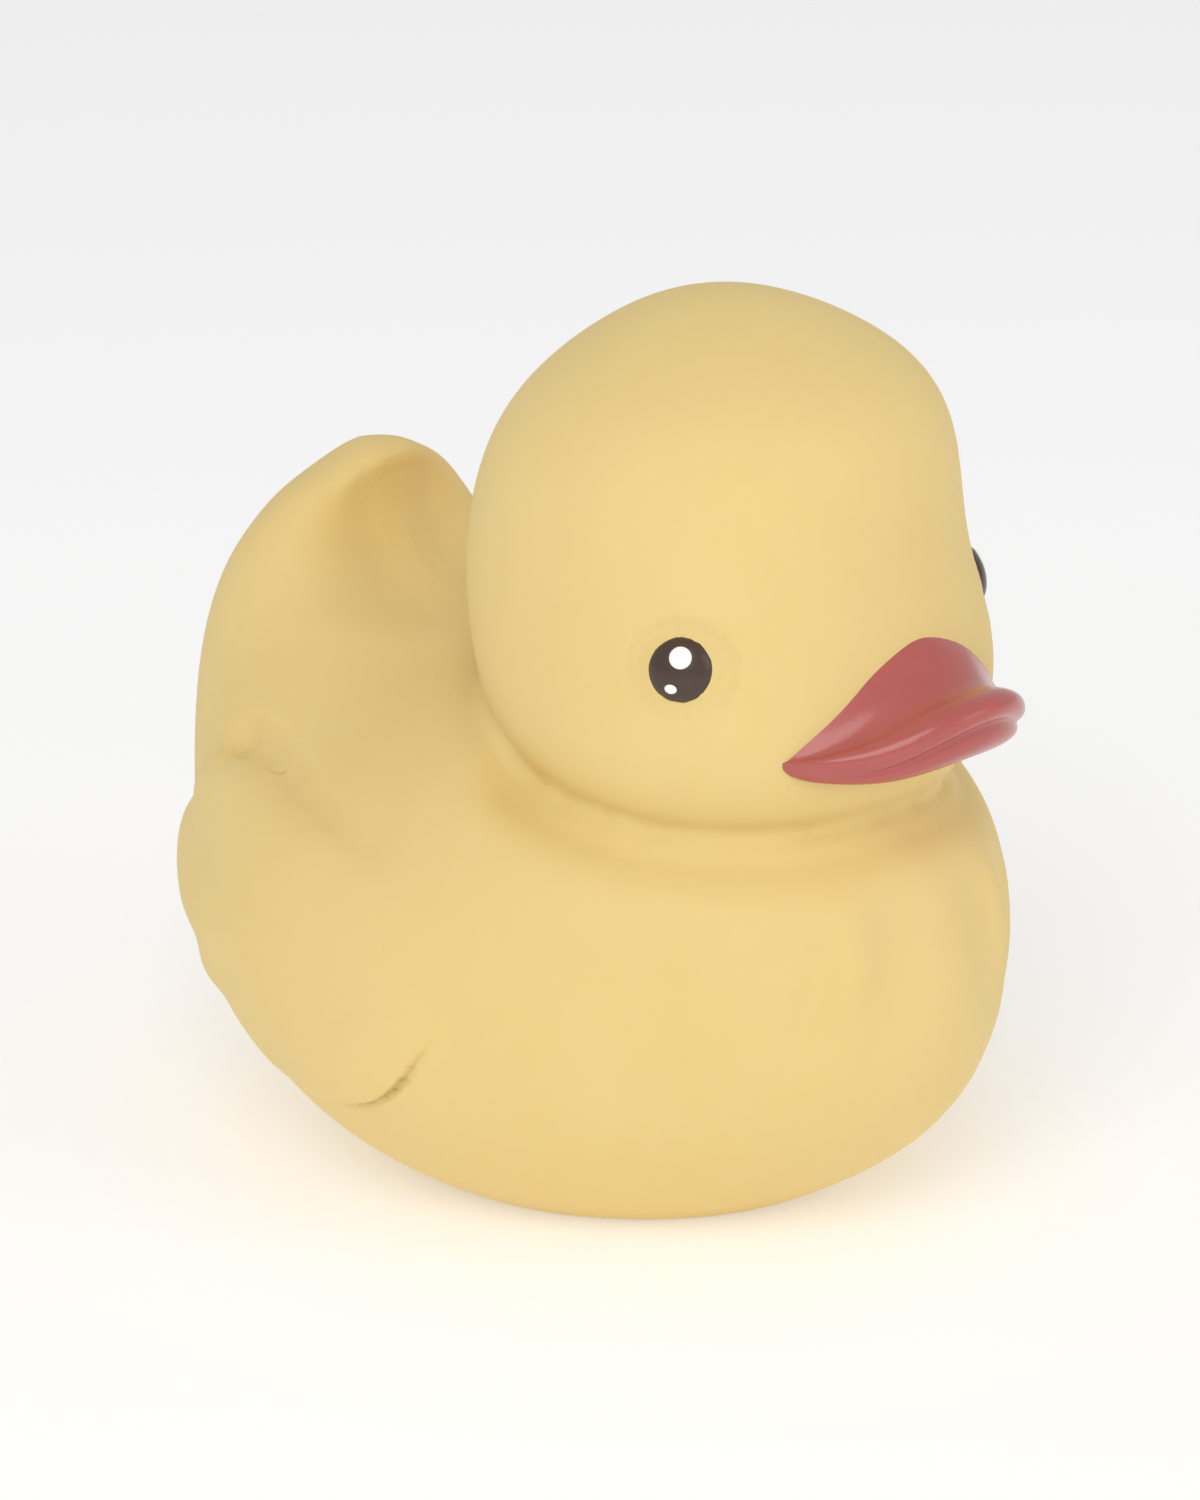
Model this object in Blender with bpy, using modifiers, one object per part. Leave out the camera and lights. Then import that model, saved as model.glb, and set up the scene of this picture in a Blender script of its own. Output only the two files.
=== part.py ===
"""A bath duck moulded in one piece of natural rubber.

The duck faces -Y, stands on its flat base at Z = 0 and is symmetric about X = 0.
Each form starts from a round cage that Subdivision Surface smooths, and the forms
are then united into the one moulding.
"""

from math import atan2, cos, pi, radians, sin

import bmesh
import bpy
from mathutils import Matrix, Vector
from mathutils.bvhtree import BVHTree

MM = 0.001

# Trunk, from the breast to the tip of the tail. Each section is an ellipse, given by its
# y, z, half width, half height and lean, in mm and degrees. A lean tips its top forwards.
BREAST_END = (-52.0, 29.0)
TRUNK_SECTIONS = (
    (-47.0, 31.0, 14.8, 19.0, -4.0),
    (-33.0, 28.5, 30.2, 27.5, -3.0),
    (-17.5, 26.5, 40.5, 33.0, -3.0),
    (1.0, 25.0, 45.5, 32.0, 0.0),
    (18.0, 27.5, 41.0, 28.0, 7.0),
    (32.0, 37.0, 30.5, 24.0, 25.0),
    (41.0, 49.5, 19.6, 20.5, 47.0),
    (40.3, 63.5, 14.1, 15.9, 54.0),
)
TAIL_END = (39.2, 72.4)

# Head, from the chin up. Each section is its z, y, half width and half depth, in mm.
HEAD_BOTTOM = (-18.5, 38.0)
HEAD_SECTIONS = (
    (41.0, -18.0, 12.0, 12.0),
    (48.5, -20.5, 25.0, 24.5),
    (59.0, -20.3, 29.2, 28.7),
    (71.0, -16.2, 26.6, 26.9),
    (83.0, -17.9, 25.7, 25.0),
    (91.0, -19.3, 20.2, 19.2),
    (96.5, -18.0, 9.5, 9.5),
)
HEAD_TOP = (-18.0, 98.5)

# Bill: it wraps round the face to a corner on each side, with a rounded lip in front.
BILL_HALF_WIDTH = 16.5
BILL_CORNER = (-39.0, 56.0)
BILL_REACH = 14.95
BILL_FULLNESS = 0.6
BILL_STATIONS = 7
# Its middle section, as shares of the reach and heights above the corners: from inside the
# face over the top, round the lip, and back underneath by way of the mouth.
BILL_PROFILE = (
    (-0.10, 7.0),
    (0.32, 10.5),
    (0.62, 6.0),
    (0.90, 5.6),
    (1.06, 3.8),
    (0.96, 1.6),
    (0.84, 0.8),
    (0.86, -1.0),
    (0.62, -2.8),
    (0.20, -3.2),
    (-0.15, -1.5),
    (-0.25, 3.0),
)

# Wings: a plate on each flank. It is flush with the flank at the top in front, and stands
# proud below and behind, where its edge is scalloped into feather tips.
WING_CENTRE = (11.5, 29.5)
WING_LENGTH = 58.0
WING_HEIGHT = 32.0
WING_TILT = 5.0
WING_POINTS = 24
WING_PROUD = 2.8
WING_ROOT = 6.0
WING_FLUSH = (-22.0, -2.0)
WING_RISE_WAY = (0.75, -0.66)
FEATHERS = 3
SCALLOP = 0.09
# Rings from its outer face to its root, as shares of the outline, of the height that it
# stands proud and of the depth of its root.
WING_RINGS = (
    (0.45, 1.0, 0.0),
    (0.84, 1.0, 0.0),
    (1.00, 0.45, 0.0),
    (0.96, 0.0, 0.4),
    (0.70, 0.0, 0.9),
    (0.35, 0.0, 1.0),
)

# Eyes: a shallow dome on each side of the face.
EYE_PLACE = (-22.2, -32.7, 65.5)
EYE_RADIUS = 3.5
EYE_DEPTH = 2.6
EYE_TURN = 55.0

# The trunk's cage reaches below Z = 0, where this block cuts the base flat.
BASE_BLOCK = 80.0

RUBBER = ("natural_rubber", (0.80, 0.62, 0.27), 0.62)
BILL_PAINT = ("bill_paint", (0.52, 0.12, 0.11), 0.30)
EYE_PAINT = ("eye_paint", (0.09, 0.055, 0.035), 0.25)


def clear_scene():
    for old in list(bpy.data.objects):
        bpy.data.objects.remove(old)


def new_collection(name):
    collection = bpy.data.collections.new(name)
    bpy.context.scene.collection.children.link(collection)
    return collection


def make_material(name, colour, roughness):
    material = bpy.data.materials.new(name)
    material.use_nodes = True
    shader = material.node_tree.nodes["Principled BSDF"]
    shader.inputs["Base Color"].default_value = (*colour, 1.0)
    shader.inputs["Roughness"].default_value = roughness
    shader.inputs["Metallic"].default_value = 0.0
    return material


def circle(count):
    """The sine and cosine of evenly spaced angles."""
    return [(sin(2 * pi * k / count), cos(2 * pi * k / count)) for k in range(count)]


def add_object(name, mesh_data, collection, material):
    mesh = bpy.data.meshes.new(name)
    mesh_data.to_mesh(mesh)
    mesh_data.free()
    mesh.materials.append(material)
    form = bpy.data.objects.new(name, mesh)
    collection.objects.link(form)
    return form


def smooth(form, levels):
    subdivision = form.modifiers.new("smooth", "SUBSURF")
    subdivision.levels = levels
    subdivision.render_levels = levels


def mirror(form):
    """Adds the form's twin on the other side of X = 0, as a body of its own."""
    twin = form.modifiers.new("mirror", "MIRROR")
    twin.use_mirror_merge = False


def cage(name, first, rings, last, collection, material):
    """A round cage: a sphere whose poles and rings, from the top, are moved to their places."""
    points_round = len(rings[0])
    ball = bmesh.new()
    bmesh.ops.create_uvsphere(
        ball, u_segments=points_round, v_segments=len(rings) + 1, radius=1.0
    )
    from_top = sorted(ball.verts, key=lambda vert: -vert.co.z)
    from_top[0].co = Vector(first) * MM
    from_top[-1].co = Vector(last) * MM
    for index, ring in enumerate(rings):
        start = 1 + index * points_round
        level = from_top[start : start + points_round]
        level.sort(key=lambda vert: round(atan2(vert.co.x, vert.co.y), 3) % (2 * pi))
        for vert, point in zip(level, ring):
            vert.co = Vector(point) * MM
    ball.normal_update()
    bmesh.ops.recalc_face_normals(ball, faces=ball.faces)
    return add_object(name, ball, collection, material)


def make_trunk(collection, material):
    rings = []
    for y, z, half_width, half_height, lean in TRUNK_SECTIONS:
        forwards, up = -sin(radians(lean)), cos(radians(lean))
        rings.append(
            [
                (half_width * s, y + half_height * c * forwards, z + half_height * c * up)
                for s, c in circle(16)
            ]
        )
    trunk = cage("duck", (0.0, *BREAST_END), rings, (0.0, *TAIL_END), collection, material)
    smooth(trunk, 2)
    return trunk


def make_head(collection, material):
    rings = [
        [(half_width * s, y - half_depth * c, z) for s, c in circle(16)]
        for z, y, half_width, half_depth in HEAD_SECTIONS
    ]
    head = cage("head", (0.0, *HEAD_BOTTOM), rings, (0.0, *HEAD_TOP), collection, material)
    smooth(head, 2)
    return head


def make_bill(collection, material):
    """Sections across the bill, from the right corner to the left one."""
    rings = []
    for station in range(BILL_STATIONS):
        across = -cos(pi * (station + 1) / (BILL_STATIONS + 1))
        swell = (1.0 - across**2) ** BILL_FULLNESS
        rings.append(
            [
                (
                    BILL_HALF_WIDTH * across,
                    BILL_CORNER[0] - BILL_REACH * share * swell,
                    BILL_CORNER[1] + rise * swell,
                )
                for share, rise in BILL_PROFILE
            ]
        )
    right = (-BILL_HALF_WIDTH, *BILL_CORNER)
    left = (BILL_HALF_WIDTH, *BILL_CORNER)
    bill = cage("bill", right, rings, left, collection, material)
    smooth(bill, 1)
    return bill


def surface_of(form):
    """The form's smoothed surface, to look places up on."""
    bpy.context.view_layer.update()
    finished = form.evaluated_get(bpy.context.evaluated_depsgraph_get()).to_mesh()
    corners = [vert.co.copy() for vert in finished.vertices]
    return BVHTree.FromPolygons(corners, [tuple(face.vertices) for face in finished.polygons])


def wing_outline():
    """Points (y, z) round the wing's centre, from the rear tip up and forwards."""
    tilt = radians(WING_TILT)
    outline = []
    for s, c in circle(WING_POINTS):
        around = atan2(s, c)
        notch = 0.0
        if c > 0.0:
            notch = SCALLOP * (1.0 - abs(sin(FEATHERS * around)))
        y = 0.5 * WING_LENGTH * c * (1.0 - notch)
        z = 0.5 * WING_HEIGHT * s * (1.0 - notch)
        outline.append((y * cos(tilt) - z * sin(tilt), y * sin(tilt) + z * cos(tilt)))
    return outline


def wing_point(flank, y, z, proud, root):
    """The point over or under the right flank at y and z from the wing's centre."""
    along = y * WING_RISE_WAY[0] + z * WING_RISE_WAY[1]
    rise = (along - WING_FLUSH[0]) / (WING_FLUSH[1] - WING_FLUSH[0])
    rise = min(max(rise, 0.0), 1.0)
    rise = rise * rise * (3.0 - 2.0 * rise)
    beside = Vector((-40.0, WING_CENTRE[0] + y, WING_CENTRE[1] + z)) * MM
    surface, normal, _, _ = flank.find_nearest(beside)
    return surface / MM + normal * (WING_PROUD * rise * proud - WING_ROOT * root)


def make_wings(trunk, collection, material):
    flank = surface_of(trunk)
    outline = wing_outline()
    rings = [
        [wing_point(flank, y * share, z * share, proud, root) for y, z in outline]
        for share, proud, root in WING_RINGS
    ]
    outer = wing_point(flank, 0.0, 0.0, 1.0, 0.0)
    inner = wing_point(flank, 0.0, 0.0, 0.0, 1.0)
    wings = cage("wings", outer, rings, inner, collection, material)
    smooth(wings, 1)
    mirror(wings)
    return wings


def make_eyes(collection, material):
    ball = bmesh.new()
    bmesh.ops.create_uvsphere(ball, u_segments=16, v_segments=8, radius=EYE_RADIUS * MM)
    flatten = Matrix.Diagonal((1.0, EYE_DEPTH / EYE_RADIUS, 1.0, 1.0))
    turn = Matrix.Rotation(radians(-EYE_TURN), 4, "Z")
    place = Matrix.Translation(Vector(EYE_PLACE) * MM)
    bmesh.ops.transform(ball, matrix=place @ turn @ flatten, verts=ball.verts)
    eyes = add_object("eyes", ball, collection, material)
    mirror(eyes)
    return eyes


def make_base_block(collection, material):
    block = bmesh.new()
    bmesh.ops.create_cube(block, size=2.0 * BASE_BLOCK * MM)
    below = Vector((0.0, 0.0, -BASE_BLOCK)) * MM
    bmesh.ops.translate(block, vec=below, verts=block.verts)
    return add_object("base_block", block, collection, material)


def combine(target, other, operation):
    """Unites the other form with the target, or cuts it away, and hides it."""
    join = target.modifiers.new(other.name, "BOOLEAN")
    join.operation = operation
    join.solver = "EXACT"
    join.material_mode = "TRANSFER"
    join.object = other
    other.hide_render = True
    other.display_type = "WIRE"


def main():
    clear_scene()
    toy = new_collection("bath_duck")
    forms = new_collection("forms")
    rubber = make_material(*RUBBER)
    bill_paint = make_material(*BILL_PAINT)
    eye_paint = make_material(*EYE_PAINT)

    duck = make_trunk(toy, rubber)
    united = [
        make_wings(duck, forms, rubber),
        make_head(forms, rubber),
        make_bill(forms, bill_paint),
        make_eyes(forms, eye_paint),
    ]
    for form in united:
        combine(duck, form, "UNION")
    combine(duck, make_base_block(forms, rubber), "DIFFERENCE")

    weld = duck.modifiers.new("weld", "WELD")
    weld.merge_threshold = 0.05 * MM
    duck.data.shade_smooth()


main()
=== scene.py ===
"""The looks of the bath duck: matt natural rubber, glossy painted bill, painted eyes.

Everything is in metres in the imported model's own frame. The duck faces -Y, its right
side is at -X, and it stands on Z = 0.
"""

from math import atan2, cos, degrees, pi, radians, sin, sqrt

import bmesh
import bpy
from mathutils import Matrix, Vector
from mathutils.bvhtree import BVHTree
from mathutils.kdtree import KDTree


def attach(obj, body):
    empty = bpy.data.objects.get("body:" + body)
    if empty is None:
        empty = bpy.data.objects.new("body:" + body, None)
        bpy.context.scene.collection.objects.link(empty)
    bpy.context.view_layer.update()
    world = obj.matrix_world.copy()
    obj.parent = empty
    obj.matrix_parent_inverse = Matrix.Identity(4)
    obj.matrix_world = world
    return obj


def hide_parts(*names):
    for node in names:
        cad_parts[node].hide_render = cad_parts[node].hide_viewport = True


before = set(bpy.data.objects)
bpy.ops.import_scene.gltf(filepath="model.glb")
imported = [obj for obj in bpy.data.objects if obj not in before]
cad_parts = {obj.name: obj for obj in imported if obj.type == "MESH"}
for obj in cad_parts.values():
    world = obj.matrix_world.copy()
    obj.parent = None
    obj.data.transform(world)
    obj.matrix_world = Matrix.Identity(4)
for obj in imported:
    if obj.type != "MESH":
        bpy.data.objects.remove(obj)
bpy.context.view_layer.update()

MM = 0.001

# Trunk sections from the breast to the tail: y, z, half width, half height, lean.
BREAST_END = (-52.0, 29.0)
TRUNK_SECTIONS = (
    (-47.0, 31.0, 14.8, 19.0, -4.0),
    (-33.0, 28.5, 30.2, 27.5, -3.0),
    (-17.5, 26.5, 40.5, 33.0, -3.0),
    (1.0, 25.0, 45.5, 32.0, 0.0),
    (18.0, 27.5, 41.0, 28.0, 7.0),
    (32.0, 37.0, 30.5, 24.0, 25.0),
    (41.0, 49.5, 19.3, 20.5, 47.0),
    (40.3, 64.0, 15.0, 16.2, 54.0),
)
TAIL_END = (37.4, 73.2)

# Head sections from the crown down: z, y, half width, half depth.
CROWN_END = (-18.0, 98.5)
HEAD_SECTIONS = (
    (96.5, -18.0, 9.5, 9.5),
    (91.0, -19.3, 20.2, 19.2),
    (83.0, -17.9, 25.7, 25.0),
    (71.0, -16.2, 26.6, 26.9),
    (59.0, -20.3, 29.2, 28.7),
    (47.3, -20.5, 25.2, 24.7),
    (39.8, -18.0, 12.0, 12.0),
)
CHIN_END = (-18.5, 37.0)

# Bill: it wraps round the face from corner to corner. Four heights above the corners, by
# how far across the bill they are from the middle (0) to a corner (1).
BILL_HALF_WIDTH = 16.5
BILL_CORNER = (-40.0, 56.0)
BILL_REACH = 15.0
BILL_FULLNESS = 0.7
BILL_STATIONS = 15
BILL_ROOT = (
    (0.0, 10.6),
    (0.3, 9.4),
    (0.55, 7.3),
    (0.7, 5.4),
    (0.8, 4.3),
    (0.9, 2.9),
    (1.0, 0.0),
)
BILL_LIP = ((0.0, 6.2), (0.25, 5.9), (0.4, 5.0), (0.57, 3.4), (0.7, 2.2), (0.88, 1.0), (1.0, 0.0))
BILL_MOUTH = ((0.0, 3.2), (0.25, 2.7), (0.48, 0.9), (0.6, 0.0), (0.72, -0.7), (1.0, -0.2))
BILL_LOW = ((0.0, -1.5), (0.25, -1.7), (0.5, -2.2), (0.8, -2.0), (0.93, -1.6), (1.0, -0.2))
# Its section, from inside the face over the root and the lip, into the mouth and round the
# lower bill: share of the reach, then share of each of the four heights and what is added.
BILL_SECTION = (
    (-0.25, (0.8, 0.0, 0.0, 0.2), 0.0),
    (0.08, (1.0, 0.0, 0.0, 0.0), 0.5),
    (0.34, (1.0, 0.0, 0.0, 0.0), 0.4),
    (0.46, (0.45, 0.55, 0.0, 0.0), 0.0),
    (0.64, (0.05, 0.95, 0.0, 0.0), -0.8),
    (0.84, (0.0, 1.0, 0.0, 0.0), 0.1),
    (0.97, (0.0, 1.0, 0.0, 0.0), -0.2),
    (1.02, (0.0, 0.6, 0.4, 0.0), 0.0),
    (0.98, (0.0, 0.2, 0.8, 0.0), 0.0),
    (0.89, (0.0, 0.0, 1.0, 0.0), 0.0),
    (0.93, (0.0, 0.0, 0.75, 0.25), 0.0),
    (0.90, (0.0, 0.0, 0.4, 0.6), 0.0),
    (0.75, (0.0, 0.0, 0.0, 1.0), 0.0),
    (0.48, (0.0, 0.0, 0.0, 1.0), -0.5),
    (0.12, (0.0, 0.0, 0.0, 1.0), -0.2),
    (-0.25, (0.3, 0.0, 0.0, 0.7), 0.0),
)

# Wings: the outline is an ellipse notched into feather tips behind. Angles are in degrees,
# from the rear tip up and forwards.
WING_CENTRE = (11.5, 29.5)
WING_LENGTH = 58.0
WING_HEIGHT = 32.0
WING_TILT = 5.0
WING_POINTS = 64
WING_ROOT = 6.0
WING_MIDDLE = 1.3
NOTCHES = (-70.0, -41.0, 28.0)
SCALLOP = 0.12
# How far its edge stands proud, by angle, and how much of that a notch takes away.
WING_EDGE = (
    (-180, 0.0),
    (-150, 0.5),
    (-130, 0.9),
    (-100, 0.5),
    (-75, 1.0),
    (-55, 2.7),
    (-25, 4.0),
    (-5, 2.9),
    (12, 1.9),
    (28, 1.2),
    (50, 1.5),
    (75, 1.9),
    (95, 1.4),
    (115, 0.6),
    (140, 0.0),
    (180, 0.0),
)
NOTCH_DIP = 0.75
# How far the outline reaches, by angle, as a share of the ellipse.
WING_REACH = (
    (-180, 1.0),
    (-90, 1.0),
    (-67, 0.95),
    (-45, 0.88),
    (-22, 0.93),
    (20, 0.98),
    (42, 0.97),
    (58, 1.09),
    (69, 0.995),
    (84, 0.90),
    (100, 0.88),
    (120, 0.94),
    (180, 1.0),
)
# Rings from its outer face to its root, as shares of the outline, of its height and of the
# depth of its root.
WING_RINGS = (
    (0.40, 1.0, 0.0),
    (0.75, 1.0, 0.0),
    (0.92, 0.95, 0.0),
    (1.00, 0.45, 0.0),
    (0.97, 0.0, 0.3),
    (0.70, 0.0, 0.9),
    (0.35, 0.0, 1.0),
)

# Neck: the trunk drops a little where it touches the head, and a thin lip is raised on it
# close by, in equal parts in front of each of NECK_FRONTS, so that it fades out backwards.
# Behind, the join is only smoothed, as far as the nape.
NECK_FRONTS = (-13.0, -17.0, -21.0)
NAPE = 15.0
NECK_HEIGHTS = (35.0, 62.0)
NECK_TOUCH = 1.5
NECK_DROP = 2.6
NECK_SPREAD = 7.5
NECK_FINE = (5.0, 4.0)
LIP_NEAR_TRUNK = 0.9
LIP_FROM_HEAD = (1.3, 1.9)
LIP_RISE = 0.35
LIP_WIDTH = 1.8
NAPE_NEAR = 1.6

# Relief sculpted into the skin: each line runs over the duck's right side and is mirrored.
WING_CREASE = (
    (-28.4, 26.3, 45.3),
    (-30.5, 20.0, 45.3),
    (-33.3, 12.9, 43.9),
    (-35.1, 6.0, 42.8),
    (-35.4, -1.0, 43.2),
)
WING_CRESCENT = (
    (-40.0, -1.0, 14.2),
    (-40.2, -5.9, 16.0),
    (-40.3, -8.6, 17.9),
    (-40.3, -11.3, 20.7),
    (-40.1, -13.3, 23.7),
    (-39.5, -15.0, 26.4),
    (-38.6, -16.6, 29.6),
)
WING_SWELL = ((-41.5, 0.0, 18.5), (-41.6, -6.0, 20.5), (-41.2, -10.0, 25.0))
CHEST_VALLEY = ((-13.6, -44.9, 37.5), (-14.6, -44.3, 31.0), (-15.8, -43.4, 25.0))
CHEST_RIDGE = ((-10.9, -46.3, 38.0), (-11.3, -46.4, 33.5), (-12.2, -46.0, 30.0))
CHEST_HOLLOW = ((-6.0, -48.8, 40.0), (-6.5, -49.4, 34.0), (-7.5, -49.3, 27.0))
TAIL_SCOOP = ((0.0, 28.0, 64.5), (-4.0, 28.0, 64.0))
# A rise is shared by stretches of its line, given as shares of its length, to fade its ends.
WHOLE = ((0.0, 1.0),)
FADING_BOTH_WAYS = ((0.0, 1.0), (0.12, 0.85), (0.25, 0.7))
FADING_FORWARDS = ((0.0, 0.15), (0.0, 0.4), (0.0, 0.7), (0.0, 1.0))
REAR_END = ((0.0, 0.1), (0.0, 0.25), (0.0, 0.45))
FADING_UPWARDS = ((0.0, 0.78), (0.05, 0.7), (0.12, 0.61), (0.2, 0.52))
# Each line with its rise, its width, its falloff, its stretches and how far to each side of
# it the rise is full.
RELIEF = (
    (WING_CREASE, -1.4, 4.0, "SMOOTH", FADING_FORWARDS, 0.8),
    (WING_CREASE[:2], -0.5, 1.8, "SMOOTH", REAR_END, 0.4),
    (WING_SWELL, 0.7, 7.0, "SMOOTH", WHOLE, 0.8),
    (WING_CRESCENT, -0.95, 1.3, "SHARP", FADING_UPWARDS, 0.15),
    (CHEST_VALLEY, -0.6, 3.5, "SMOOTH", FADING_BOTH_WAYS, 0.8),
    (CHEST_RIDGE, 0.5, 3.5, "SMOOTH", FADING_BOTH_WAYS, 0.8),
    (CHEST_HOLLOW, -0.55, 5.0, "SMOOTH", FADING_BOTH_WAYS, 0.8),
    (TAIL_SCOOP, -4.6, 15.5, "SMOOTH", WHOLE, 0.8),
)
# The skin is refined round these lines, twice, ever closer to them.
FINE_LINES = (WING_CRESCENT, WING_CREASE[:2])
FINE_REACHES = (4.0, 2.0)

# The mound under an eye: its half sizes, then what is raised and how wide.
MOUND_SIZE = (4.9, 4.2)
MOUND_FINE = 7.0
MOUND_TOP = 1.5
MOUND_RISE = 0.25
MOUND_WIDTH = 5.0
GROOVE_CORE = 0.4
GROOVE_RISE = -0.45
GROOVE_WIDTH = 1.3

# Eyes: a shallow painted dome on a low mound, with two white dots. A dot is its place
# across and up from the dome's middle, and its half width and half height.
EYE_PLACE = (-22.2, -32.7, 65.5)
EYE_RADIUS = 3.42
EYE_DEPTH = 1.9
EYE_SINK = 0.9
EYE_DOTS = {"large": (0.1, 1.3, 1.15, 1.15), "small": (-0.78, -1.95, 0.68, 0.55)}
DOT_DEPTH = 0.25
DOT_SINK = 0.12

SKIN_GRAIN = 0.85
# The spheres that the forms are drawn from, and a place beside the duck's right flank.
BALL_RADIUS = 30.0
BESIDE = -60.0

# Tints: the rubber and each paint drift between two.
RUBBER_TINTS = ((0.79, 0.585, 0.225), (0.83, 0.635, 0.27))
# Painted shade: the rubber is tinted towards this darker, warmer colour in creases and hollows.
CREASE_SHADE_TINT = (0.62, 0.43, 0.14)
BILL_TINTS = ((0.43, 0.09, 0.08), (0.49, 0.115, 0.10))
EYE_TINTS = ((0.052, 0.029, 0.019), (0.07, 0.041, 0.028))
HIGHLIGHT_TINTS = ((0.93, 0.92, 0.90), (0.97, 0.96, 0.94))

VIEW_AZIMUTH = -46.0
VIEW_ELEVATION = 19.6
VIEW_DISTANCE = 0.560
VIEW_AIM = (0.0, 0.0, 0.0432)
LENS = 124.0


# ---------------------------------------------------------------- hand tools


def only(piece):
    """Makes the piece the only selected and the active one."""
    bpy.ops.object.select_all(action="DESELECT")
    piece.select_set(True)
    bpy.context.view_layer.objects.active = piece


def edit(piece):
    only(piece)
    bpy.ops.object.mode_set(mode="EDIT")
    bpy.ops.mesh.select_mode(type="VERT")
    bpy.ops.mesh.select_all(action="DESELECT")


def leave_edit():
    bpy.ops.object.mode_set(mode="OBJECT")


def pick(piece, wanted):
    """In edit mode, selects just the vertices whose numbers are wanted."""
    bpy.ops.mesh.select_all(action="DESELECT")
    mesh = bmesh.from_edit_mesh(piece.data)
    mesh.verts.ensure_lookup_table()
    for number in wanted:
        mesh.verts[number].select_set(True)
    mesh.select_flush_mode()
    bmesh.update_edit_mesh(piece.data)


def apply_modifier(piece, kind, **settings):
    only(piece)
    modifier = piece.modifiers.new(kind.lower(), kind)
    for name, value in settings.items():
        setattr(modifier, name, value)
    bpy.ops.object.modifier_apply(modifier=modifier.name)


def settle(piece):
    """Puts the piece's place, turn and size into its mesh."""
    only(piece)
    bpy.ops.object.transform_apply(location=True, rotation=True, scale=True)


def levels_along(piece, axis):
    """The vertex numbers of a sphere, level by level along the axis (0 X, 1 Y, 2 Z)."""
    levels = {}
    for vert in piece.data.vertices:
        levels.setdefault(round(vert.co[axis] / MM, 3), []).append(vert.index)
    return [levels[place] for place in sorted(levels)]


def middle(piece, numbers):
    total = Vector()
    for number in numbers:
        total += piece.data.vertices[number].co
    return total / len(numbers)


# ---------------------------------------------------------------- forms


def make_trunk():
    """A sphere with its poles at the breast and the tail, each ring drawn to its section."""
    radius = BALL_RADIUS * MM
    bpy.ops.mesh.primitive_uv_sphere_add(
        segments=16, ring_count=len(TRUNK_SECTIONS) + 1, radius=radius, rotation=(pi / 2, 0, 0)
    )
    trunk = bpy.context.object
    trunk.name = "trunk"
    settle(trunk)
    levels = levels_along(trunk, 1)
    centres = [middle(trunk, numbers) for numbers in levels]
    edit(trunk)
    for end, (y, z) in ((0, BREAST_END), (-1, TAIL_END)):
        pick(trunk, levels[end])
        bpy.ops.transform.translate(value=Vector((0, y * MM, z * MM)) - centres[end])
    for index, (y, z, half_width, half_height, lean) in enumerate(TRUNK_SECTIONS, 1):
        centre = centres[index]
        ring_radius = sqrt(radius**2 - centre.y**2)
        pick(trunk, levels[index])
        bpy.ops.transform.resize(
            value=(half_width * MM / ring_radius, 1, half_height * MM / ring_radius),
            center_override=centre,
        )
        if lean:
            bpy.ops.transform.rotate(
                value=-radians(lean), orient_axis="X", center_override=centre
            )
        bpy.ops.transform.translate(value=Vector((0, y * MM, z * MM)) - centre)
    leave_edit()
    return trunk


def make_head():
    """A sphere with its poles at the crown and the chin, each ring drawn to its section."""
    radius = BALL_RADIUS * MM
    bpy.ops.mesh.primitive_uv_sphere_add(
        segments=16, ring_count=len(HEAD_SECTIONS) + 1, radius=radius
    )
    head = bpy.context.object
    head.name = "head"
    levels = levels_along(head, 2)[::-1]
    centres = [middle(head, numbers) for numbers in levels]
    edit(head)
    for end, (y, z) in ((0, CROWN_END), (-1, CHIN_END)):
        pick(head, levels[end])
        bpy.ops.transform.translate(value=Vector((0, y * MM, z * MM)) - centres[end])
    for index, (z, y, half_width, half_depth) in enumerate(HEAD_SECTIONS, 1):
        centre = centres[index]
        ring_radius = sqrt(radius**2 - centre.z**2)
        pick(head, levels[index])
        bpy.ops.transform.resize(
            value=(half_width * MM / ring_radius, half_depth * MM / ring_radius, 1),
            center_override=centre,
        )
        bpy.ops.transform.translate(value=Vector((0, y * MM, z * MM)) - centre)
    leave_edit()
    return head


def surface_of(piece):
    corners = [vert.co.copy() for vert in piece.data.vertices]
    return BVHTree.FromPolygons(corners, [tuple(face.vertices) for face in piece.data.polygons])


def circle(count):
    return [(sin(2 * pi * k / count), cos(2 * pi * k / count)) for k in range(count)]


def between(table, place):
    """The value at this place in a table of (place, value) rows, in straight steps."""
    for (start, low), (end, high) in zip(table, table[1:]):
        if place <= end:
            return low + (high - low) * (place - start) / (end - start)
    return table[-1][1]


def wing_outline():
    """Rows of y, z, height and notch round the wing's centre, from the rear tip upwards."""
    tilt = radians(WING_TILT)
    outline = []
    for s, c in circle(WING_POINTS):
        around = degrees(atan2(s, c))
        notch = 0.0
        for start, end in zip(NOTCHES, NOTCHES[1:]):
            if start <= around <= end:
                notch = 1.0 - sin(pi * (around - start) / (end - start))
        reach = between(WING_REACH, around) * (1.0 - SCALLOP * notch)
        y = 0.5 * WING_LENGTH * c * reach
        z = 0.5 * WING_HEIGHT * s * reach
        outline.append(
            (
                y * cos(tilt) - z * sin(tilt),
                y * sin(tilt) + z * cos(tilt),
                between(WING_EDGE, around),
                notch,
            )
        )
    return outline


def wing_point(flank, y, z, height):
    beside = Vector((BESIDE, WING_CENTRE[0] + y, WING_CENTRE[1] + z)) * MM
    surface, normal, _, _ = flank.ray_cast(beside, Vector((1, 0, 0)))
    return surface + normal * height * MM


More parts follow.
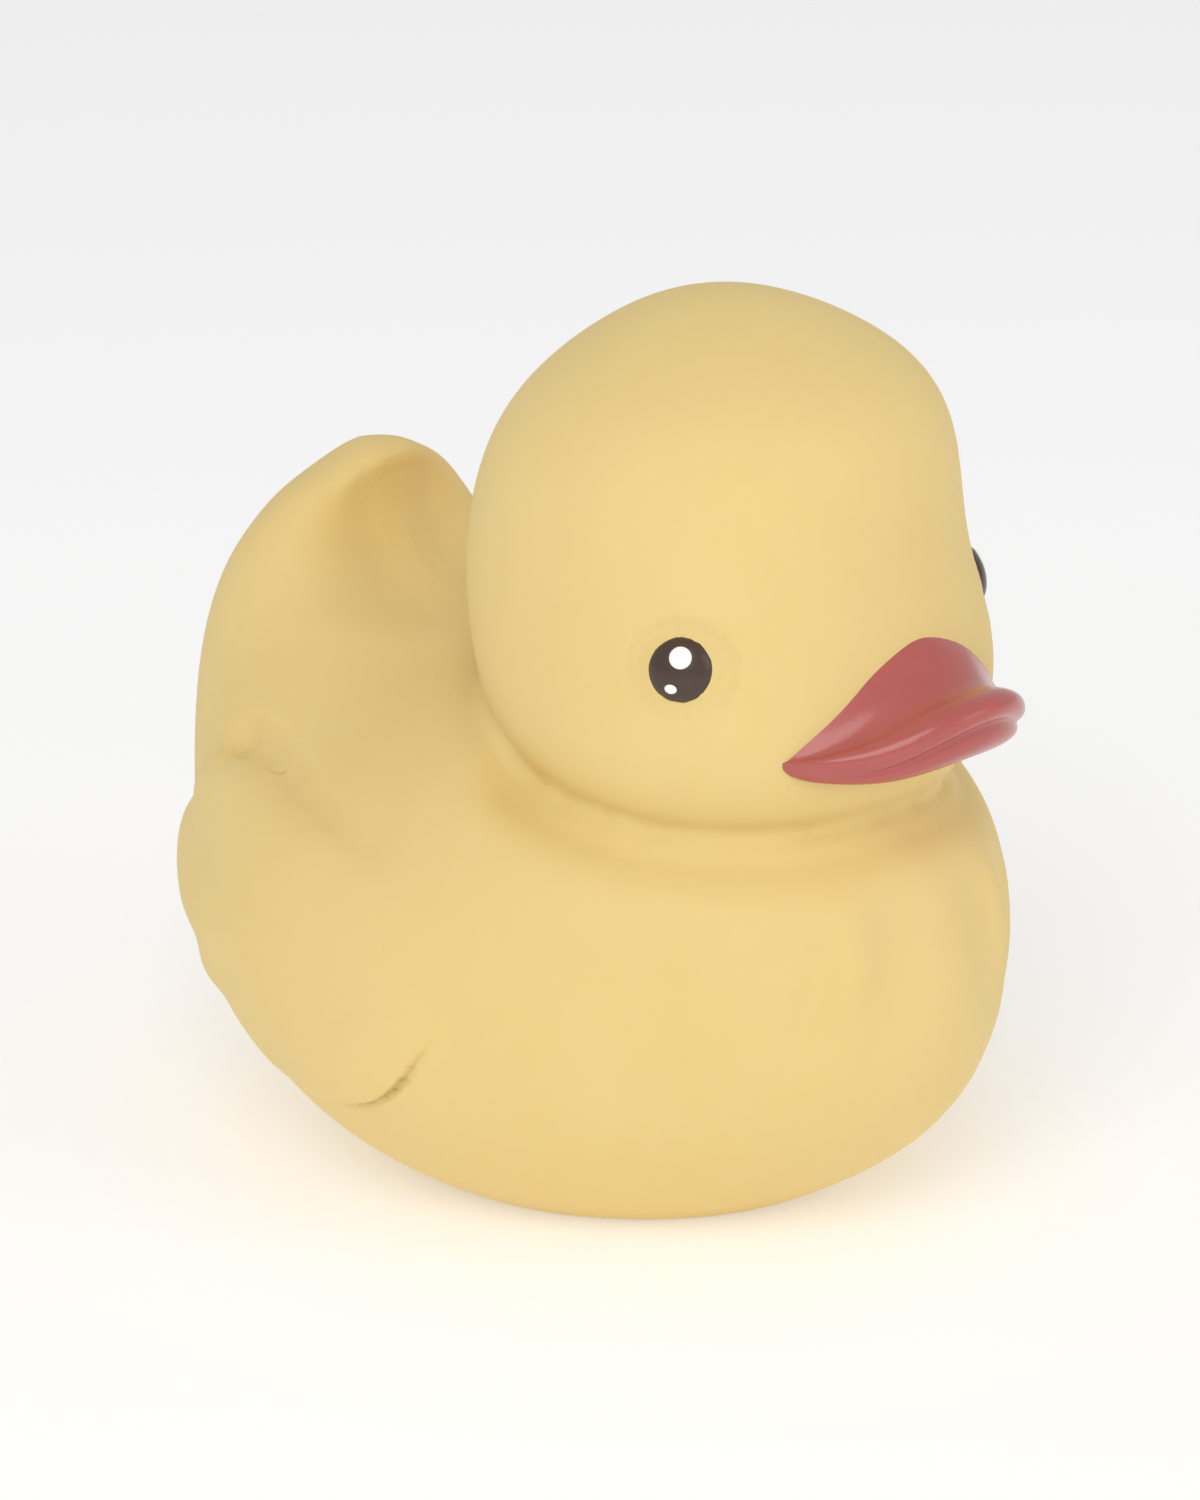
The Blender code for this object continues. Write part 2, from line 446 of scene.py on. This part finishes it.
def make_wings(trunk):
    """A ball for each wing, flattened over the flank: its rings become the wing's plate."""
    flank = surface_of(trunk)
    bpy.ops.mesh.primitive_uv_sphere_add(
        segments=WING_POINTS, ring_count=len(WING_RINGS) + 1, radius=BALL_RADIUS * MM
    )
    wings = bpy.context.object
    wings.name = "wings"
    levels = levels_along(wings, 2)[::-1]
    outline = wing_outline()
    verts = wings.data.vertices
    verts[levels[0][0]].co = wing_point(flank, 0.0, 0.0, WING_MIDDLE)
    verts[levels[-1][0]].co = wing_point(flank, 0.0, 0.0, -WING_ROOT)
    for level, (share, proud, root) in zip(levels[1:-1], WING_RINGS):
        level.sort(key=lambda n: round(atan2(verts[n].co.x, verts[n].co.y), 3) % (2 * pi))
        for number, (y, z, edge, notch) in zip(level, outline):
            edge *= 1.0 - NOTCH_DIP * notch * share**3
            height = WING_MIDDLE + (edge - WING_MIDDLE) * share
            height = proud * height - WING_ROOT * root
            verts[number].co = wing_point(flank, y * share, z * share, height)
    edit(wings)
    bpy.ops.mesh.select_all(action="SELECT")
    bpy.ops.mesh.normals_make_consistent(inside=False)
    leave_edit()
    apply_modifier(wings, "SUBSURF", levels=3, render_levels=3)
    apply_modifier(wings, "MIRROR", use_mirror_merge=False)
    return wings


def smooth_line(corners, step=0.4):
    """Places about a step apart on a smooth line through the corners, all in mm."""
    knots = [Vector(corner) for corner in corners]
    knots = [2 * knots[0] - knots[1]] + knots + [2 * knots[-1] - knots[-2]]
    line = []
    for before, start, end, after in zip(knots, knots[1:], knots[2:], knots[3:]):
        pieces = max(1, round((end - start).length / step))
        for k in range(pieces):
            t = k / pieces
            line.append(
                0.5
                * (
                    2 * start
                    + (end - before) * t
                    + (2 * before - 5 * start + 4 * end - after) * t**2
                    + (3 * start - before - 3 * end + after) * t**3
                )
            )
    return line + [knots[-2]]


def surface_now(piece):
    """The surface of the piece as it stands in edit mode."""
    return BVHTree.FromBMesh(bmesh.from_edit_mesh(piece.data))


def beside_line(piece, line, reach):
    """The vertices of the piece within reach of the line, or of its mirror image, in mm.

    The line is first laid onto the surface."""
    surface = surface_now(piece)
    places = KDTree(len(line))
    for index, place in enumerate(line):
        places.insert(surface.find_nearest(place * MM)[0], index)
    places.balance()
    found = []
    for vert in bmesh.from_edit_mesh(piece.data).verts:
        x, y, z = vert.co
        if places.find((-abs(x), y, z))[2] < reach * MM:
            found.append(vert.index)
    return found


def round_neck(piece, surface, nearest, furthest, front=NECK_FRONTS[0]):
    """The piece's vertices at the neck, before this front, this far in mm from the surface."""
    lowest, highest = NECK_HEIGHTS
    found = []
    for vert in bmesh.from_edit_mesh(piece.data).verts:
        if vert.co.y < front * MM and lowest * MM < vert.co.z < highest * MM:
            if nearest <= surface.find_nearest(vert.co)[3] / MM <= furthest:
                found.append(vert.index)
    return found


def sink_neck(trunk, head_surface):
    """Lowers the trunk round the head, so that the head sits in a shallow dish."""
    edit(trunk)
    pick(trunk, round_neck(trunk, head_surface, 0.0, NECK_TOUCH))
    bpy.ops.transform.translate(
        value=(0, 0, -NECK_DROP * MM),
        use_proportional_edit=True,
        proportional_edit_falloff="SMOOTH",
        proportional_size=NECK_SPREAD * MM,
    )
    leave_edit()


def refine(skin, numbers):
    """Halves the grain of the skin round these vertices."""
    pick(skin, numbers)
    bpy.ops.mesh.subdivide(number_cuts=1)
    bpy.ops.mesh.vertices_smooth(factor=0.5, repeat=2)


def raise_at(skin, numbers, rise, width, falloff="SMOOTH"):
    """Raises the skin at these vertices, or presses it in, fading to nothing at the width."""
    pick(skin, numbers)
    bpy.ops.transform.shrink_fatten(
        value=rise * MM,
        use_proportional_edit=True,
        proportional_edit_falloff=falloff,
        proportional_size=width * MM,
    )


def raise_along(skin, corners, rise, width, falloff, stretches, core):
    """Raises the skin along a smooth line through the corners."""
    line = smooth_line(corners)
    for start, end in stretches:
        stretch = line[round(start * len(line)) : max(1, round(end * len(line)))]
        numbers = beside_line(skin, stretch, core)
        raise_at(skin, numbers, rise / len(stretches), width, falloff)


def sculpt_neck(skin, trunk_surface, head_surface):
    """A thin lip in front where the head sits in the body, run smoothly into both."""

    def by_both(from_head, from_trunk, front=NECK_FRONTS[0]):
        by_head = round_neck(skin, head_surface, 0.0, from_head, front)
        return set(by_head) & set(round_neck(skin, trunk_surface, 0.0, from_trunk, front))

    refine(skin, by_both(*NECK_FINE))
    near_head = set(round_neck(skin, head_surface, 0.0, LIP_NEAR_TRUNK))
    near_trunk = set(round_neck(skin, trunk_surface, 0.0, LIP_NEAR_TRUNK))
    for front in NECK_FRONTS:
        lip = near_trunk & set(round_neck(skin, head_surface, *LIP_FROM_HEAD, front))
        raise_at(skin, lip, LIP_RISE / len(NECK_FRONTS), LIP_WIDTH)
    pick(skin, near_head | near_trunk)
    bpy.ops.mesh.vertices_smooth(factor=0.5, repeat=14)
    pick(skin, by_both(NAPE_NEAR, NAPE_NEAR, NAPE))
    bpy.ops.mesh.vertices_smooth(factor=0.5, repeat=10)


def sculpt_eye_mounds(skin):
    """A low mound under each eye, with a shallow groove round it."""
    surface, normal, _, _ = surface_now(skin).find_nearest(Vector(EYE_PLACE) * MM)
    centre = surface / MM
    across = normal.cross(Vector((0, 0, 1))).normalized()
    above = across.cross(normal)
    ring = []
    for s, c in circle(40):
        ring.append(centre + MOUND_SIZE[0] * c * across + MOUND_SIZE[1] * s * above)
    refine(skin, beside_line(skin, [centre], MOUND_FINE))
    raise_at(skin, beside_line(skin, [centre], MOUND_TOP), MOUND_RISE, MOUND_WIDTH)
    raise_at(skin, beside_line(skin, ring, GROOVE_CORE), GROOVE_RISE, GROOVE_WIDTH)


def sculpt(skin, trunk_surface, head_surface):
    """The neck, the mounds under the eyes and the relief."""
    edit(skin)
    lines = [smooth_line(corners) for corners in FINE_LINES]
    for reach in FINE_REACHES:
        refine(skin, [number for line in lines for number in beside_line(skin, line, reach)])
    sculpt_neck(skin, trunk_surface, head_surface)
    sculpt_eye_mounds(skin)
    for line in RELIEF:
        raise_along(skin, *line)
    leave_edit()


def make_skin():
    """The moulding: trunk, head and wings run into one, then sculpted."""
    head = make_head()
    apply_modifier(head, "SUBSURF", levels=4, render_levels=4)
    head_surface = surface_of(head)
    trunk = make_trunk()
    apply_modifier(trunk, "SUBSURF", levels=4, render_levels=4)
    sink_neck(trunk, head_surface)
    trunk_surface = surface_of(trunk)
    wings = make_wings(trunk)
    edit(trunk)
    bpy.ops.mesh.select_all(action="SELECT")
    bpy.ops.mesh.bisect(plane_co=(0, 0, 0), plane_no=(0, 0, -1), clear_outer=True, use_fill=True)
    leave_edit()
    bpy.ops.object.select_all(action="DESELECT")
    for form in (head, wings, trunk):
        form.select_set(True)
    bpy.context.view_layer.objects.active = trunk
    bpy.ops.object.join()
    skin = trunk
    skin.name = "duck_skin"
    apply_modifier(skin, "REMESH", mode="VOXEL", voxel_size=SKIN_GRAIN * MM, adaptivity=0.0)
    apply_modifier(skin, "SMOOTH", factor=0.5, iterations=2)
    sculpt(skin, trunk_surface, head_surface)
    for vert in skin.data.vertices:
        vert.co.z = max(vert.co.z, 0.0)
    skin.data.shade_smooth()
    return skin


def make_bill():
    """A sphere with its poles at the bill's corners: each ring between is one section."""
    bpy.ops.mesh.primitive_uv_sphere_add(
        segments=len(BILL_SECTION), ring_count=BILL_STATIONS + 1, radius=BALL_RADIUS * MM
    )
    bill = bpy.context.object
    bill.name = "bill"
    levels = levels_along(bill, 2)
    verts = bill.data.vertices
    verts[levels[0][0]].co = Vector((-BILL_HALF_WIDTH, *BILL_CORNER)) * MM
    verts[levels[-1][0]].co = Vector((BILL_HALF_WIDTH, *BILL_CORNER)) * MM
    for station, level in enumerate(levels[1:-1], 1):
        across = -cos(pi * station / (BILL_STATIONS + 1))
        swell = (1.0 - across**2) ** BILL_FULLNESS
        heights = [
            between(table, abs(across)) for table in (BILL_ROOT, BILL_LIP, BILL_MOUTH, BILL_LOW)
        ]
        level.sort(key=lambda n: round(atan2(verts[n].co.x, verts[n].co.y), 3) % (2 * pi))
        for number, (share, parts, more) in zip(level, BILL_SECTION):
            rise = sum(part * height for part, height in zip(parts, heights)) + more * swell
            verts[number].co = MM * Vector(
                (
                    BILL_HALF_WIDTH * across,
                    BILL_CORNER[0] - BILL_REACH * share * swell,
                    BILL_CORNER[1] + rise,
                )
            )
    edit(bill)
    bpy.ops.mesh.select_all(action="SELECT")
    bpy.ops.mesh.normals_make_consistent(inside=False)
    leave_edit()
    apply_modifier(bill, "SUBSURF", levels=3, render_levels=3)
    bill.data.shade_smooth()
    return bill


def make_ball(name, place, facing, sizes, segments):
    """A ball squashed towards where it faces, with its own X across and Z up."""
    bpy.ops.mesh.primitive_uv_sphere_add(
        segments=segments, ring_count=segments // 2, radius=MM, location=place
    )
    ball = bpy.context.object
    ball.name = name
    ball.scale = sizes
    ball.rotation_euler = facing.to_track_quat("-Y", "Z").to_euler()
    settle(ball)
    ball.data.shade_smooth()
    return ball


def mirrored(piece, name):
    """A copy of the piece, with its own mesh, on the other side of X = 0."""
    only(piece)
    bpy.ops.object.duplicate()
    copy = bpy.context.object
    copy.name = name
    copy.scale.x = -1
    settle(copy)
    edit(copy)
    bpy.ops.mesh.select_all(action="SELECT")
    bpy.ops.mesh.normals_make_consistent(inside=False)
    leave_edit()
    return copy


def make_eyes(skin):
    """The painted domes and their white dots, laid onto the skin."""
    surface, normal, _, _ = surface_of(skin).find_nearest(Vector(EYE_PLACE) * MM)
    across = (-normal).cross(Vector((0, 0, 1))).normalized()
    above = across.cross(-normal)
    centre = surface - normal * EYE_SINK * MM
    dome = make_ball("eye_right", centre, normal, (EYE_RADIUS, EYE_DEPTH, EYE_RADIUS), 64)
    domes = [dome, mirrored(dome, "eye_left")]
    dots = []
    for size, (right, up, half_width, half_height) in EYE_DOTS.items():
        out = EYE_DEPTH * sqrt(1.0 - (right**2 + up**2) / EYE_RADIUS**2)
        facing = (across * right + above * up) / EYE_RADIUS**2 + normal * out / EYE_DEPTH**2
        facing.normalize()
        place = centre + (across * right + above * up + normal * out - facing * DOT_SINK) * MM
        dot = make_ball(
            f"dot_{size}_right", place, facing, (half_width, DOT_DEPTH, half_height), 32
        )
        dots += [dot, mirrored(dot, f"dot_{size}_left")]
    return domes, dots


# ---------------------------------------------------------------- finishes


def new_finish(name):
    finish = bpy.data.materials.new(name)
    finish.use_nodes = True
    nodes = finish.node_tree.nodes
    return finish, nodes, finish.node_tree.links, nodes["Principled BSDF"]


def add_noise(nodes, links, scale, detail=2.0):
    """Noise fixed to the piece's own coordinates."""
    place = nodes.new("ShaderNodeTexCoord")
    noise = nodes.new("ShaderNodeTexNoise")
    noise.inputs["Scale"].default_value = scale
    noise.inputs["Detail"].default_value = detail
    links.new(place.outputs["Object"], noise.inputs["Vector"])
    return noise.outputs["Fac"]


def add_drift(nodes, links, tints, scale, detail):
    """A colour that drifts between two tints."""
    tint = nodes.new("ShaderNodeMix")
    tint.data_type = "RGBA"
    tint.inputs[6].default_value = (*tints[0], 1)
    tint.inputs[7].default_value = (*tints[1], 1)
    links.new(add_noise(nodes, links, scale, detail), tint.inputs[0])
    return tint.outputs[2]


def add_grain(nodes, links, shader, scale, strength):
    """A fine grain in the surface."""
    bump = nodes.new("ShaderNodeBump")
    bump.inputs["Strength"].default_value = strength
    bump.inputs["Distance"].default_value = 0.0002
    links.new(add_noise(nodes, links, scale), bump.inputs["Height"])
    links.new(bump.outputs["Normal"], shader.inputs["Normal"])


def rubber_finish():
    """Natural rubber: matt and faintly mottled, with painted shade: a darker, warmer tint where
    the form folds in on itself, taken from ambient occlusion.
    """
    finish, nodes, links, shader = new_finish("natural_rubber")
    # Painted shade: ambient occlusion tints the rubber darker and warmer in folds and hollows.
    crease_occlusion = nodes.new("ShaderNodeAmbientOcclusion")
    crease_occlusion.only_local = True
    crease_occlusion.samples = 8
    crease_occlusion.inputs["Distance"].default_value = 0.009
    painted_shade_share = nodes.new("ShaderNodeMapRange")
    for name, value in {"From Min": 0.45, "From Max": 0.9, "To Min": 0.75, "To Max": 0.0}.items():
        painted_shade_share.inputs[name].default_value = value
    links.new(crease_occlusion.outputs["AO"], painted_shade_share.inputs["Value"])
    painted_shade_mix = nodes.new("ShaderNodeMix")
    painted_shade_mix.data_type = "RGBA"
    painted_shade_mix.inputs[7].default_value = (*CREASE_SHADE_TINT, 1)
    links.new(painted_shade_share.outputs["Result"], painted_shade_mix.inputs[0])
    links.new(add_drift(nodes, links, RUBBER_TINTS, 70.0, 4.0), painted_shade_mix.inputs[6])
    links.new(painted_shade_mix.outputs[2], shader.inputs["Base Color"])
    add_grain(nodes, links, shader, 1500.0, 0.08)
    shader.inputs["Roughness"].default_value = 0.62
    shader.inputs["Specular IOR Level"].default_value = 0.35
    shader.inputs["Subsurface Weight"].default_value = 0.15
    shader.inputs["Subsurface Radius"].default_value = (1.0, 0.6, 0.25)
    shader.inputs["Subsurface Scale"].default_value = 0.003
    return finish


def paint_finish(name, tints, roughness, peel):
    """Brushed-on paint: a faint drift between two shades, and orange peel in the gloss."""
    finish, nodes, links, shader = new_finish(name)
    links.new(add_drift(nodes, links, tints, 220.0, 3.0), shader.inputs["Base Color"])
    add_grain(nodes, links, shader, 2200.0, peel)
    shader.inputs["Roughness"].default_value = roughness
    return finish


# ---------------------------------------------------------------- studio


def make_studio():
    bpy.context.scene.view_settings.view_transform = "Standard"
    bpy.ops.mesh.primitive_plane_add(size=6.0, location=(0, 0, 0))
    floor = bpy.context.object
    floor.name = "floor"
    finish, nodes, links, shader = new_finish("pale_floor")
    shader.inputs["Base Color"].default_value = (0.8, 0.8, 0.8, 1)
    shader.inputs["Roughness"].default_value = 0.9
    shader.inputs["Emission Color"].default_value = (1, 1, 1, 1)
    shader.inputs["Emission Strength"].default_value = 0.3
    floor.data.materials.append(finish)

    world = bpy.data.worlds.new("studio")
    bpy.context.scene.world = world
    world.use_nodes = True
    nodes, links = world.node_tree.nodes, world.node_tree.links
    light = nodes["Background"]
    light.inputs["Color"].default_value = (1, 1, 1, 1)
    seen = nodes.new("ShaderNodeLightPath")
    strength = nodes.new("ShaderNodeMapRange")
    strength.inputs["To Min"].default_value = 0.6
    strength.inputs["To Max"].default_value = 1.0
    links.new(seen.outputs["Is Camera Ray"], strength.inputs["Value"])
    links.new(strength.outputs["Result"], light.inputs["Strength"])

    def softbox(name, place, size, power):
        data = bpy.data.lights.new(name, "AREA")
        data.size = size
        data.energy = power
        lamp = bpy.data.objects.new(name, data)
        bpy.context.scene.collection.objects.link(lamp)
        lamp.location = place
        aim = Vector((0, 0, 0.05)) - Vector(place)
        lamp.rotation_euler = aim.to_track_quat("-Z", "Y").to_euler()

    softbox("key_light", (-0.75, -0.45, 0.75), 0.7, 4.5)
    softbox("fill_light", (0.35, -0.9, 0.45), 0.6, 1.2)


def make_camera():
    data = bpy.data.cameras.new("camera")
    data.sensor_fit = "VERTICAL"
    data.sensor_height = 36.0
    data.lens = LENS
    data.clip_start = 0.01
    camera = bpy.data.objects.new("camera", data)
    bpy.context.scene.collection.objects.link(camera)
    azimuth, elevation = radians(VIEW_AZIMUTH), radians(VIEW_ELEVATION)
    back = Vector(
        (sin(azimuth) * cos(elevation), -cos(azimuth) * cos(elevation), sin(elevation))
    )
    camera.location = Vector(VIEW_AIM) + back * VIEW_DISTANCE
    camera.rotation_euler = (-back).to_track_quat("-Z", "Y").to_euler()
    bpy.context.scene.camera = camera


def main():
    bpy.ops.object.select_all(action="DESELECT")
    make_camera()
    make_studio()
    skin = make_skin()
    bill = make_bill()
    domes, dots = make_eyes(skin)
    skin.data.materials.clear()
    skin.data.materials.append(rubber_finish())
    bill.data.materials.append(paint_finish("bill_paint", BILL_TINTS, 0.2, 0.08))
    eye_paint = paint_finish("eye_paint", EYE_TINTS, 0.28, 0.1)
    highlight_paint = paint_finish("highlight_paint", HIGHLIGHT_TINTS, 0.35, 0.1)
    for dome in domes:
        dome.data.materials.append(eye_paint)
    for dot in dots:
        dot.data.materials.append(highlight_paint)
    slots = {"natural_rubber": [skin], "bill_paint": [bill]}
    slots |= {"eye_paint": domes, "highlight_paint": dots}
    for slot, pieces in slots.items():
        for piece in pieces:
            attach(piece, "root")
    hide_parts("duck")


main()
